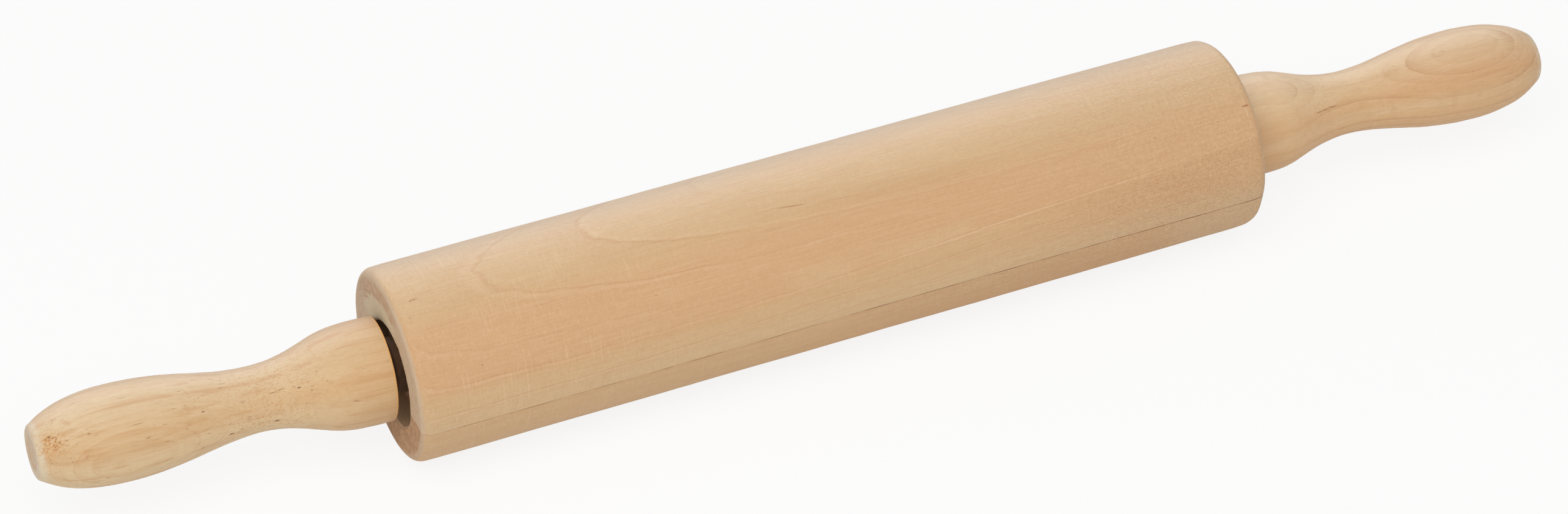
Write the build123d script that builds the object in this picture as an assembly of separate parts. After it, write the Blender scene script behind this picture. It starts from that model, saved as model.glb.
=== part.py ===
from build123d import *

import os
from math import radians, sin

# Rolling pin: a wooden barrel that turns freely on one steel axle with a turned handle at each end.
# Millimetres. The axle runs along X, with the right handle towards +X, and +Z is up.
# The origin is on the surface that the barrel rests on, under the middle of the barrel.

# Barrel
barrel_diameter = 55.0
barrel_length = 255.0
barrel_edge_round = 2.75
recess_diameter = 33.0
recess_depth = 6.0
recess_edge_chamfer = 0.7
axle_passage_diameter = 10.0

# Bushes, pressed into the ends of the barrel with their collars on the floors of the recesses
bush_sleeve_diameter = 12.0
bush_sleeve_length = 22.0
bush_collar_diameter = 16.0
bush_collar_thickness = 5.9
bush_edge_chamfer = 0.5
bush_seat_relief = 1.0

# Axle
axle_diameter = 8.0
axle_grip_length = 58.0
axle_end_chamfer = 0.8

# Washers, loose on the axle between a bush and a handle
washer_diameter = 16.0
washer_thickness = 1.0

# Handles
handle_length = 98.0
handle_root_diameter = 29.4
handle_neck_diameter = 18.4
handle_belly_diameter = 27.1
handle_end_diameter = 14.6
handle_root_chamfer = 0.4
handle_end_round = 1.2
handle_bore_relief = 3.0

# The handles lean a little out of line with their bores: how far they lean, and which way,
# as the angle above +Y of the direction that the left handle's end leans towards
handle_lean_degrees = 2.0
handle_lean_heading_degrees = 47.5

# Clearances and fits, all measured on the radius or along the axle
running_clearance = 0.05
washer_bore_clearance = 0.1
end_clearance = 0.3
bush_press = 0.02
axle_press = 0.03
cut_overrun = 1.0

# How near an edge has to be to a named size or place to be the one that is meant
edge_match = 0.01

# The handle's outline between its named diameters. Each pair is the share of the handle's length,
# and the share of the way that the radius has gone from one named diameter to the next.
shoulder_share = 0.08
root_to_neck_shares = ((0.16, 0.17), (0.25, 0.68))
neck_share = 0.36
neck_to_belly_shares = ((0.48, 0.23), (0.62, 0.77))
belly_share = 0.76
belly_to_end_shares = ((0.88, 0.18), (0.96, 0.63))

# Worked out from the sizes above
axle_height = barrel_diameter / 2
half_barrel = barrel_length / 2
recess_floor = half_barrel - recess_depth
collar_face = recess_floor + bush_collar_thickness
washer_inner_face = collar_face + end_clearance
washer_outer_face = washer_inner_face + washer_thickness
# A leaning root comes nearer to the washer on one side, so it stands that much further out
root_lean_reach = washer_diameter / 2 * sin(radians(handle_lean_degrees))
handle_start = washer_outer_face + end_clearance + root_lean_reach
axle_half_length = handle_start + axle_grip_length


def along_x(radius, start, end):
    """A round bar on the X axis from start to end."""
    return Pos((start + end) / 2, 0, 0) * Rot(Y=90) * Cylinder(radius, abs(end - start))


def ring_edges(solid, radius, place):
    """The round edges of that radius in the plane x = place."""
    round_edges = solid.edges().filter_by(GeomType.CIRCLE)
    return [
        edge
        for edge in round_edges
        if abs(edge.radius - radius) < edge_match and abs(edge.arc_center.X - place) < edge_match
    ]


def make_barrel():
    """The barrel, bored through, with a seat for a bush and a wider recess at each end."""
    solid = along_x(barrel_diameter / 2, -half_barrel, half_barrel)
    seat_length = bush_sleeve_length + bush_seat_relief
    solid -= along_x(axle_passage_diameter / 2, -half_barrel - cut_overrun, half_barrel + cut_overrun)
    for side in (-1, 1):
        face = side * half_barrel
        floor = side * recess_floor
        past_face = side * (half_barrel + cut_overrun)
        solid -= along_x(recess_diameter / 2, floor, past_face)
        solid -= along_x(bush_sleeve_diameter / 2, floor - side * seat_length, past_face)
        solid = fillet(ring_edges(solid, barrel_diameter / 2, face), barrel_edge_round)
        solid = chamfer(ring_edges(solid, recess_diameter / 2, face), recess_edge_chamfer)
    return solid


def make_bush(side):
    """A flanged plain bearing: its sleeve in the barrel, its collar on the floor of the recess."""
    floor = side * recess_floor
    sleeve_end = side * (recess_floor - bush_sleeve_length)
    face = side * collar_face
    solid = along_x(bush_sleeve_diameter / 2 + bush_press, sleeve_end, floor)
    solid += along_x(bush_collar_diameter / 2, floor, face)
    solid -= along_x(axle_diameter / 2 + running_clearance, sleeve_end, face)
    edges = ring_edges(solid, bush_sleeve_diameter / 2 + bush_press, sleeve_end)
    edges += ring_edges(solid, bush_collar_diameter / 2, face)
    return chamfer(edges, bush_edge_chamfer)


def make_washer(side):
    """A flat washer, free on the axle."""
    inner = side * washer_inner_face
    outer = side * washer_outer_face
    solid = along_x(washer_diameter / 2, inner, outer)
    return solid - along_x(axle_diameter / 2 + washer_bore_clearance, inner, outer)


def make_axle():
    """The plain rod that runs from inside one handle, through the barrel, to inside the other."""
    solid = along_x(axle_diameter / 2, -axle_half_length, axle_half_length)
    edges = []
    for side in (-1, 1):
        edges += ring_edges(solid, axle_diameter / 2, side * axle_half_length)
    return chamfer(edges, axle_end_chamfer)


def handle_outline():
    """Points of the handle's outline, as distance from its root and radius."""
    root = handle_root_diameter / 2
    neck = handle_neck_diameter / 2
    belly = handle_belly_diameter / 2
    end = handle_end_diameter / 2
    points = [(0, root), (handle_length * shoulder_share, root)]
    stretches = (
        (root_to_neck_shares, root, neck, neck_share),
        (neck_to_belly_shares, neck, belly, belly_share),
        (belly_to_end_shares, belly, end, 1),
    )
    for shares, first, last, last_share in stretches:
        points += [(handle_length * along, first + (last - first) * gone) for along, gone in shares]
        points.append((handle_length * last_share, last))
    return points


def turned_handle():
    """The handle as it leaves the lathe, on the X axis with its root at x = 0."""
    points = handle_outline()
    length, end_radius = points[-1]
    with BuildPart() as turned:
        with BuildSketch():
            with BuildLine():
                Spline(points)
                Polyline((length, end_radius), (length, 0), (0, 0), points[0])
            make_face()
        revolve(axis=Axis.X)
        chamfer(ring_edges(turned.part, handle_root_diameter / 2, 0), handle_root_chamfer)
        fillet(ring_edges(turned.part, end_radius, length), handle_end_round)
    return turned.part


def make_handle(side):
    """A handle in its place: leaning, with a blind bore in line with the axle."""
    heading = 0 if side > 0 else 180
    lean = Rot(X=handle_lean_heading_degrees) * Rot(Z=heading - handle_lean_degrees)
    solid = Pos(side * handle_start, 0, 0) * lean * turned_handle()
    bore_end = side * (axle_half_length + handle_bore_relief)
    bore_start = side * (handle_start - cut_overrun)
    return solid - along_x(axle_diameter / 2 - axle_press, bore_start, bore_end)


def build():
    """Every piece of the rolling pin by its name."""
    pieces = {"barrel": make_barrel(), "axle": make_axle()}
    for name, side in (("left", -1), ("right", 1)):
        pieces[f"{name}_bush"] = make_bush(side)
        pieces[f"{name}_washer"] = make_washer(side)
        pieces[f"{name}_handle"] = make_handle(side)
    return pieces


os.makedirs("parts", exist_ok=True)
for node, piece in build().items():
    export_step(Pos(0, 0, axle_height) * piece, f"parts/{node}.step")
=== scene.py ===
"""Looks of the rolling pin: camera, light, floor, and turned wood with growth rings, pits and tool marks.

Every length named _mm is in millimetres, every other one in metres, in the frame's own axes.
Angles round the barrel and the handles start at the front, -Y, and grow towards the top, +Z.
"""

import math

import bpy
import numpy as np
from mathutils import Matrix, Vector


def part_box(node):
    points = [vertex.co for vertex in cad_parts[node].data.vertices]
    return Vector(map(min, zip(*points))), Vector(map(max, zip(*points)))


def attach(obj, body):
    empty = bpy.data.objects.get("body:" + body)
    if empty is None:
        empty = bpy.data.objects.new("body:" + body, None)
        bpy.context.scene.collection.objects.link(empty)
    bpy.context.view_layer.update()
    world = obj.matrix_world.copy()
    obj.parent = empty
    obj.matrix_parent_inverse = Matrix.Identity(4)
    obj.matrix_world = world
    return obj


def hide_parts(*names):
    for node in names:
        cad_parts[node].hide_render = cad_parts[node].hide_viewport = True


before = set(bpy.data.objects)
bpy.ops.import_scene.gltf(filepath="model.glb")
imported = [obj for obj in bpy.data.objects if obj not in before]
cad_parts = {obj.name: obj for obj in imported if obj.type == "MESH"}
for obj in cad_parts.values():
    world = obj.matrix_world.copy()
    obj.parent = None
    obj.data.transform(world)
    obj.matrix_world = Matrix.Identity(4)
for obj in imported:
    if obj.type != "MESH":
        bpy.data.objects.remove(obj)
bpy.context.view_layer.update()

MM = 0.001

# The photograph
PHOTO_WIDTH_PX = 2576
FOCAL_LENGTH_PX = 8413.6
SENSOR_WIDTH_MM = 36
CAMERA_AZIMUTH = math.radians(-23.6446)
CAMERA_ELEVATION = math.radians(40.0105)
CAMERA_DISTANCE = 1.42665
LOOK_AT_ALONG = -0.01007
LOOK_AT_BELOW_AXIS = 0.00072

# The barrel, as in the CAD model
barrel_low, barrel_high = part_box("barrel")
HALF_BARREL_MM = barrel_high.x / MM
BARREL_RADIUS_MM = (barrel_high.z - barrel_low.z) / 2 / MM
AXIS_HEIGHT_MM = (barrel_high.z + barrel_low.z) / 2 / MM
BARREL_EDGE_ROUND_MM = 2.75
FACE_EDGE_MM = BARREL_RADIUS_MM - BARREL_EDGE_ROUND_MM
RECESS_RADIUS_MM = 16.5
RECESS_DEPTH_MM = 6
RECESS_CHAMFER_MM = 0.7
SLEEVE_THICKNESS_MM = 2
SEAT_RADIUS_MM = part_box("axle")[1].y / MM + SLEEVE_THICKNESS_MM
SEAT_LENGTH_MM = 23
PASSAGE_RADIUS_MM = 5

# The handles, as in the CAD model: outline as distance from the root and radius
HANDLE_START_MM = 129.28
HANDLE_LEAN = math.radians(2)
HANDLE_LEAN_HEADING = math.radians(47.5)
HANDLE_OUTLINE_MM = (
    (0, 14.7),
    (7.84, 14.7),
    (15.68, 13.77),
    (24.5, 10.96),
    (35.28, 9.2),
    (47.04, 10.19),
    (60.76, 12.61),
    (74.48, 13.55),
    (86.24, 12.43),
    (94.08, 9.63),
    (98, 7.3),
)
HANDLE_ROOT_ROUND_MM = 0.4
HANDLE_END_REACH_MM = 0.8
HANDLE_BORE_RADIUS_MM = 3.97
HANDLE_BORE_DEPTH_MM = 61
SIDES = {"left": -1, "right": 1}

# The seam between the barrel's two boards, below the axis
SEAM_DROP_MM = 3.45
SEAM_WIDTH_MM = 0.3
SEAM_DEPTH_MM = 0.05
SEAM_SWAY_MM = 0.25
SEAM_WAVE_MM = 38
SEAM_PHASE = 0.6

# At the left end a smear of filler laps over the recess's lip near its top, and lies in a shallow dish that
# is painted pale, as filler and as a painted highlight
FILLER_ANGLE = math.radians(118)
FILLER_REACH = math.radians(74)
FILLER_MM = 4.2
DISH_ANGLE = math.radians(112)
DISH_REACH = math.radians(40)
DISH_DEPTH_MM = 0.6
DISH_EDGE_MM = 21
DISH_EASE = 0.8

# Low at the front the same lip is worn a little wider
WORN_LIP_ANGLE = math.radians(-50)
WORN_LIP_REACH = math.radians(60)
WORN_LIP_MM = 1.1

# How closely the recess's wall follows its lip
WALL_SHARE = 0.9

# How fine the meshes are: points round each piece, and steps between their rings of points
BARREL_POINTS_ROUND = 400
SIDE_STEP_MM = 3
PASSAGE_STEP_MM = 40
SEAT_STEP_MM = 12
FLOOR_STEP_MM = 0.5
WALL_STEP_MM = 0.6
LIP_STEP_SHARE = 0.25
FACE_STEP_MM = 0.3
BARREL_ROUND_STEPS = 9
HANDLE_POINTS_ROUND = 220
HANDLE_STEP_MM = 0.5
HANDLE_END_STEP_MM = 0.4
BORE_STEP_MM = 15
ROOT_ROUND_STEPS = 4
END_ROUND_STEPS = 8
SHARP_EDGE = math.radians(40)

# How uneven the barrel is: each wave's height and length in mm, and its seed
LIP_WAVES = ((0.35, 16, 3), (0.12, 3, 4))
ROUGH_WAVES = ((0.07, 5, 5), (0.03, 1.6, 6))
LONG_WAVE = (0.05, 22, 8)
SHORT_WAVE = (0.02, 7, 9)
RIM_WAVE = (0.1, 9, 12)
LONG_WAVE_STRETCH = np.array([0.5, 1, 1])

# The waves that bend the tool marks and break up the seam's groove, written alike
MARK_WAVE = (1, 18, 7)
GROOVE_WAVE = (0.8, 23, 10)

# How far the surfaces lie inside the CAD solid, so that their unevenness stays inside it too
FACE_SINK_MM = 0.08
FLOOR_SINK_MM = 0.05
SIDE_SINK_MM = 0.06
RIM_WEAR_MM = 0.1

# Tool marks on the floors of the recesses
TOOL_MARK_MM = 0.06
TOOL_MARK_PITCH_MM = 0.95

# Pits in the end grain
FACE_PITS = 34
FACE_PIT_SEED = 11
FACE_PIT_SIZE_MM = (0.35, 0.8)
FACE_PIT_DEPTH_MM = (0.12, 0.35)
FACE_PIT_MARGINS_MM = (1.5, 0.6)

# How uneven a handle is: its seed, each wave's height and length in mm and what it adds to the seed,
# and its tool marks, its outer end, its torn grain and the soft border of its pits
HANDLE_SEED = 40
HANDLE_WAVES = ((0.05, 14, 0), (0.02, 4, 1))
HANDLE_MARK_MM = 0.012
HANDLE_MARK_PITCH_MM = 1.7
HANDLE_MARK_WAVE_MM = 30
HANDLE_SINK_MM = 0.08
HANDLE_END_WAVE_MM = 4
HANDLE_END_DISH_MM = 0.25
TORN_WAVE_MM = 1.5
PIT_BORDER_MM = 0.2


def linear(red, green, blue):
    """A colour as it is written for a screen, in 0 to 255, turned to linear light."""
    parts = [value / 255 for value in (red, green, blue)]
    parts = [part / 12.92 if part <= 0.04045 else ((part + 0.055) / 1.055) ** 2.4 for part in parts]
    return (*parts, 1)


# Shapes


def ripple(points_mm, wavelength_mm, seed, waves=14):
    """A smooth random value, mostly between -1 and 1, at each point."""
    draw = np.random.default_rng(seed)
    total = np.zeros(points_mm.shape[:-1])
    for _ in range(waves):
        direction = draw.normal(size=3)
        direction /= np.linalg.norm(direction)
        cycles = draw.uniform(0.6, 1.5) / wavelength_mm
        total += np.sin(2 * np.pi * (points_mm @ direction * cycles + draw.uniform()))
    return total / math.sqrt(waves) * 0.8


def uneven(points_mm, waves, seed=0):
    """Ripples added up, each given as its height, its length and its own seed."""
    return sum(height * ripple(points_mm, length, seed + own_seed) for height, length, own_seed in waves)


def dip(distance, reach):
    """1 in the middle of a hollow, falling smoothly to 0 at its reach."""
    share = np.clip(1 - distance / reach, 0, 1)
    return share * share * (3 - 2 * share)


def angle_from(turn, angle):
    """How far apart two angles are, as a value from 0 to half a turn."""
    return np.abs((turn - angle + math.pi) % (2 * math.pi) - math.pi)


def add_object(name, data):
    """A new object of the scene."""
    made = bpy.data.objects.new(name, data)
    bpy.context.scene.collection.objects.link(made)
    return made


def object_from_rings(name, rings_mm, joined):
    """A smooth closed mesh through rings of points, joined from last to first or capped at each end."""
    count, around = rings_mm.shape[:2]
    points = rings_mm.reshape(-1, 3)
    faces = []
    last = count if joined else count - 1
    step = np.arange(around)
    following = (step + 1) % around
    for ring in range(last):
        here = ring * around
        there = (ring + 1) % count * around
        faces.append(np.stack([here + step, here + following, there + following, there + step], axis=1))
    quads = np.concatenate(faces)
    corners = points[quads]
    volume = np.einsum("ij,ij->", corners[:, 0], np.cross(corners[:, 1], corners[:, 2]))
    volume += np.einsum("ij,ij->", corners[:, 0], np.cross(corners[:, 2], corners[:, 3]))
    if volume < 0:
        quads = quads[:, ::-1]
    faces = quads.tolist()
    if not joined:
        points = np.concatenate([points, rings_mm[:1].mean(axis=1), rings_mm[-1:].mean(axis=1)])
        for centre, here in ((len(points) - 2, 0), (len(points) - 1, (count - 1) * around)):
            fan = np.stack([here + step, here + following, np.full(around, centre)], axis=1)
            if (centre == len(points) - 1) == (volume < 0):
                fan = fan[:, ::-1]
            faces += fan.tolist()
    mesh = bpy.data.meshes.new(name)
    mesh.from_pydata((points * MM).tolist(), [], faces)
    mesh.validate()
    mesh.shade_smooth()
    mesh.set_sharp_from_angle(angle=SHARP_EDGE)
    return add_object(name, mesh)


def spread(first, last, step):
    """Even values from first to last, about a step apart, both ends included."""
    count = max(1, round(abs(last - first) / step))
    return np.linspace(first, last, count + 1)


def smooth_curve(points):
    """A natural cubic spline through points, as a function."""
    knots, values = np.array(points, float).T
    gaps = np.diff(knots)
    size = len(knots)
    system = np.eye(size)
    right = np.zeros(size)
    for i in range(1, size - 1):
        system[i, i - 1 : i + 2] = gaps[i - 1], 2 * (gaps[i - 1] + gaps[i]), gaps[i]
        right[i] = 6 * ((values[i + 1] - values[i]) / gaps[i] - (values[i] - values[i - 1]) / gaps[i - 1])
    bends = np.linalg.solve(system, right)

    def value(where):
        i = np.clip(np.searchsorted(knots, where) - 1, 0, size - 2)
        after = where - knots[i]
        before = knots[i + 1] - where
        gap = gaps[i]
        cubic = (bends[i] * before**3 + bends[i + 1] * after**3) / (6 * gap)
        line = (values[i] / gap - bends[i] * gap / 6) * before
        line += (values[i + 1] / gap - bends[i + 1] * gap / 6) * after
        return cubic + line

    return value


handle_radius = smooth_curve(HANDLE_OUTLINE_MM)


def laid_out(rows, angles):
    """A ring of points for each row, as distances along, radii, angles, and the rows' other parts."""
    along, radius, *others = [np.array(column)[:, None] for column in zip(*rows)]
    turn = along * 0 + angles
    return along + turn * 0, radius + turn * 0, turn, *others


def at(along, radius, turn):
    """The places at those distances along, radii and angles, about a piece's own axis."""
    return np.stack([along, -radius * np.cos(turn), radius * np.sin(turn)], axis=-1)


def barrel_angles():
    """Angles round the barrel, closer together at the two edges of the seam."""
    even = np.linspace(0, 2 * np.pi, BARREL_POINTS_ROUND, endpoint=False)
    seam = math.asin(-SEAM_DROP_MM / BARREL_RADIUS_MM)
    width = SEAM_WIDTH_MM / BARREL_RADIUS_MM
    near = np.array([-2, -1, -0.5, 0, 0.5, 1, 2]) * width
    extra = np.concatenate([seam + near, math.pi - seam + near]) % (2 * np.pi)
    clear = [angle for angle in even if np.abs(angle - extra).min() > 0.3 * width]
    return np.sort(np.concatenate([clear, extra]))


def barrel_end():
    """Rings of one end, from the middle of the passage outwards: depth below the end face, radius, kind."""
    seat_end = RECESS_DEPTH_MM + SEAT_LENGTH_MM
    lip = RECESS_RADIUS_MM + RECESS_CHAMFER_MM
    floor_radii = spread(SEAT_RADIUS_MM, RECESS_RADIUS_MM, FLOOR_STEP_MM)[1:]
    wall_depths = spread(RECESS_DEPTH_MM, RECESS_CHAMFER_MM, WALL_STEP_MM)[1:]
    passage_depths = spread(HALF_BARREL_MM, seat_end, PASSAGE_STEP_MM)[1:]
    rows = [(depth, PASSAGE_RADIUS_MM, "inside") for depth in passage_depths]
    rows += [(depth, SEAT_RADIUS_MM, "inside") for depth in spread(seat_end, RECESS_DEPTH_MM, SEAT_STEP_MM)]
    rows += [(RECESS_DEPTH_MM, radius, "floor") for radius in floor_radii]
    rows += [(depth, RECESS_RADIUS_MM, "wall") for depth in wall_depths]
    for share in spread(0, 1, LIP_STEP_SHARE)[1:]:
        depth = RECESS_CHAMFER_MM * (1 - share) ** 2
        rows.append((depth, RECESS_RADIUS_MM + RECESS_CHAMFER_MM * share, "lip"))
    rows += [(0, radius, "face") for radius in spread(lip, FACE_EDGE_MM, FACE_STEP_MM)[1:]]
    for turn in spread(0, math.pi / 2, math.pi / 2 / BARREL_ROUND_STEPS)[1:]:
        depth = BARREL_EDGE_ROUND_MM * (1 - math.cos(turn))
        rows.append((depth, FACE_EDGE_MM + BARREL_EDGE_ROUND_MM * math.sin(turn), "rim"))
    return rows


def make_barrel():
    """The barrel with its worn rim, uneven recess lip, tool marks, pits and the fine groove of its seam."""
    left = [(depth - HALF_BARREL_MM, radius, kind, -1) for depth, radius, kind in barrel_end()]
    right = [(-along, radius, kind, 1) for along, radius, kind, _ in left]
    start = HALF_BARREL_MM - BARREL_EDGE_ROUND_MM
    side = [(x, BARREL_RADIUS_MM, "side", 0) for x in spread(-start, start, SIDE_STEP_MM)[1:-1]]
    middle = [(0, PASSAGE_RADIUS_MM, "inside", 0)]
    rows = left + side + right[::-1] + middle
    along, radius, turn, kind, end = laid_out(rows, barrel_angles())
    place = at(along, radius, turn)
    outside = np.isin(kind, ["side", "rim"])
    face = np.isin(kind, ["face", "lip"])

    # The lip of the recess isn't a true circle, and at the left end it laps inwards near the top
    edge = at(along * 0 + end * HALF_BARREL_MM, radius * 0 + RECESS_RADIUS_MM, turn)
    open_by = uneven(edge, LIP_WAVES)
    open_by -= np.where(end < 0, FILLER_MM * dip(angle_from(turn, FILLER_ANGLE), FILLER_REACH), 0)
    open_by += np.where(end < 0, WORN_LIP_MM * dip(angle_from(turn, WORN_LIP_ANGLE), WORN_LIP_REACH), 0)
    share = np.clip((FACE_EDGE_MM - radius) / (FACE_EDGE_MM - RECESS_RADIUS_MM), 0, 1)
    radius = radius + np.where(face, open_by * share, 0)
    depth = HALF_BARREL_MM - np.abs(along)
    radius = radius + np.where(kind == "wall", open_by * (1 - depth / RECESS_DEPTH_MM) * WALL_SHARE, 0)

    # Tool marks on the recess floor, and an end face that isn't quite flat
    rough = uneven(place, ROUGH_WAVES)
    mark_turns = 2 * np.pi * radius / TOOL_MARK_PITCH_MM + uneven(place, [MARK_WAVE])
    marks = TOOL_MARK_MM * np.sin(mark_turns)
    push = np.where(face, FACE_SINK_MM + rough, 0)
    push = push + np.where(kind == "floor", marks + FLOOR_SINK_MM + rough, 0)
    dish_width = DISH_EDGE_MM - RECESS_RADIUS_MM + FILLER_MM
    dished = dip(angle_from(turn, DISH_ANGLE), DISH_REACH)
    dished = dished * np.clip((DISH_EDGE_MM - radius) / dish_width, 0, 1) ** DISH_EASE
    push = push + np.where((end < 0) & face, DISH_DEPTH_MM * dished, 0)
    draw = np.random.default_rng(FACE_PIT_SEED)
    inner_margin, outer_margin = FACE_PIT_MARGINS_MM
    for pit_end in (-1, 1):
        for _ in range(FACE_PITS):
            pit_turn = draw.uniform(0, 2 * np.pi)
            pit_radius = draw.uniform(RECESS_RADIUS_MM + inner_margin, FACE_EDGE_MM - outer_margin)
            size = draw.uniform(*FACE_PIT_SIZE_MM)
            deep = draw.uniform(*FACE_PIT_DEPTH_MM)
            gap = angle_from(turn, pit_turn) * pit_radius
            pit = deep * dip(np.hypot(gap, radius - pit_radius), size)
            push = push + np.where(face & (end == pit_end), pit, 0)
    along = along - end * push

    # The sanded outside: slow waves, a soft rim and the groove of the seam
    seam_height = -SEAM_DROP_MM + SEAM_SWAY_MM * np.sin(along / SEAM_WAVE_MM + SEAM_PHASE)
    slow = uneven(place * LONG_WAVE_STRETCH, [LONG_WAVE]) + uneven(place, [SHORT_WAVE])
    height = radius * np.sin(turn)
    broken = uneven(place * np.array([1, 0, 0]), [GROOVE_WAVE])
    groove = SEAM_DEPTH_MM * dip(np.abs(height - seam_height), SEAM_WIDTH_MM) * np.clip(0.6 + broken, 0.1, 1)
    rim_wear = np.where(kind == "rim", uneven(place, [RIM_WAVE]) + RIM_WEAR_MM, 0)
    radius = radius - np.where(outside, SIDE_SINK_MM - slow + groove + rim_wear, 0)
    radius = np.where(outside, np.minimum(radius, BARREL_RADIUS_MM), radius)
    rings = at(along, radius, turn) + np.array([0, 0, AXIS_HEIGHT_MM])
    return object_from_rings("barrel_turned", rings, joined=True)


def handle_axes(side):
    """The middle of the handle's root, and unit vectors along the handle, to its front and up."""
    across = Vector((0, -math.cos(HANDLE_LEAN_HEADING), -math.sin(HANDLE_LEAN_HEADING))) * side
    along = Vector((side, 0, 0)) * math.cos(HANDLE_LEAN) + across * math.sin(HANDLE_LEAN)
    front = Vector((0, -1, 0))
    front = (front - along * front.dot(along)).normalized()
    up = along.cross(front).normalized()
    if up.z < 0:
        up = -up
    return Vector((side * HANDLE_START_MM, 0, AXIS_HEIGHT_MM)), along, front, up


# Pits in the handles, in mm and degrees: distance from the root, angle, half length, half width, depth
LEFT_PITS = (
    (52.6, 42, 0.45, 0.3, 0.2),
    (45.5, -9, 0.9, 0.34, 0.4),
    (32.6, -9, 0.8, 0.42, 0.35),
    (25.7, 43, 0.5, 0.34, 0.2),
    (32.8, 45.4, 1.1, 0.2, 0.14),
    (30.4, 47.2, 1.2, 0.2, 0.1),
    (71, 46, 1.9, 0.18, 0.1),
    (41.2, 42, 0.8, 0.3, 0.04),
    (11.8, 13, 0.7, 0.22, 0.15),
    (10.9, 12, 0.4, 0.16, 0.12),
    (93.9, 60, 0.45, 0.3, 0.2),
    (92.8, 57, 0.55, 0.22, 0.1),
    (91.7, 47.6, 0.4, 0.28, 0.12),
    (89.8, 47.6, 0.45, 0.24, 0.1),
    (73, 82, 1.2, 0.2, 0.06),
    (63.9, 17, 0.7, 0.2, 0.08),
    (60.4, 54.4, 0.7, 0.16, 0.08),
    (45.5, 80, 1.1, 0.22, 0.04),
    (32.8, 82.6, 0.6, 0.22, 0.05),
    (53, 62, 0.3, 0.24, 0.06),
    (22.6, 36, 0.34, 0.3, 0.1),
    (20.3, 58, 0.3, 0.24, 0.08),
    (89.5, 17, 0.25, 0.4, 0.06),
    (86, 19, 0.4, 0.22, 0.06),
    (62.4, 14.6, 0.4, 0.2, 0.05),
    (44.9, 38, 0.9, 0.16, 0.03),
    (49.8, 28, 0.5, 0.16, 0.04),
)
RIGHT_PITS = (
    (23.8, 35.6, 1, 0.2, 0.16),
    (26, 36.8, 1.1, 0.2, 0.14),
    (28.8, 38, 1.2, 0.22, 0.16),
    (47, 63, 0.3, 0.24, 0.05),
    (51, 79, 0.3, 0.24, 0.05),
    (29, 94, 0.35, 0.26, 0.05),
    (27.8, 76, 0.3, 0.24, 0.05),
    (35.7, 71, 0.3, 0.24, 0.05),
    (38.6, 60, 0.28, 0.22, 0.04),
    (29.5, 62, 0.28, 0.22, 0.04),
    (40.3, 108, 0.3, 0.24, 0.05),
    (49.5, 87, 0.28, 0.22, 0.04),
    (72.7, 41, 0.3, 0.2, 0.05),
)
PITS = {"left": LEFT_PITS, "right": RIGHT_PITS}

# Where the left handle's grain is torn open near its end, written as the pits are
TORN_END = (94.6, 50, 5.4, 3.8, 0.36)


def hollow(along, turn, pit, border=0):
    """How deep one pit in a handle is at each point."""
    where, angle, half_length, half_width, deep = pit
    gap = angle_from(turn, math.radians(angle)) * handle_radius(where)
    return deep * dip(np.hypot((along - where) / (half_length + border), gap / (half_width + border)), 1)


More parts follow.
